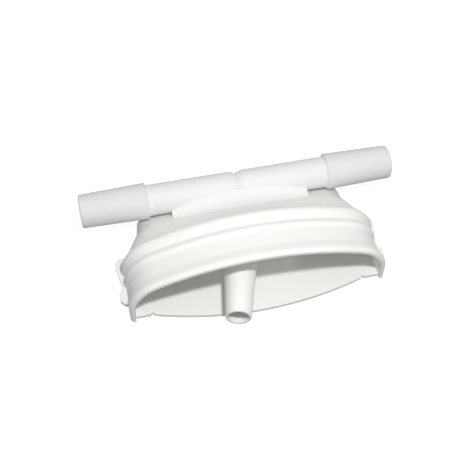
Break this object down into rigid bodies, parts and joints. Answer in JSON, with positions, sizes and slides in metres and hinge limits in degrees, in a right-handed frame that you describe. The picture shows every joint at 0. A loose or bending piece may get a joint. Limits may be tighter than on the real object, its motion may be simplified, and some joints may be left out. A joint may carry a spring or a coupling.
{
  "type": "detergent dispenser",
  "caption": "Moulded detergent dispenser for a washing machine: a water tube with hose spigots joined to a ribbed D-shaped hood whose open mouth holds a leaning flushing nozzle.",
  "frame": {"origin": "middle of the outline, on the flat back that the part lies on", "axes": "+X along the water tube, +Y from the hood's mouth towards the tube, +Z out of the back plate"},
  "size_m": [0.155, 0.0798, 0.0374],
  "materials": {
    "body": "white polypropylene, injection moulded, satin"
  },
  "bodies": {
    "root": {"dispenser_body": "body"}
  },
  "joints": []
}
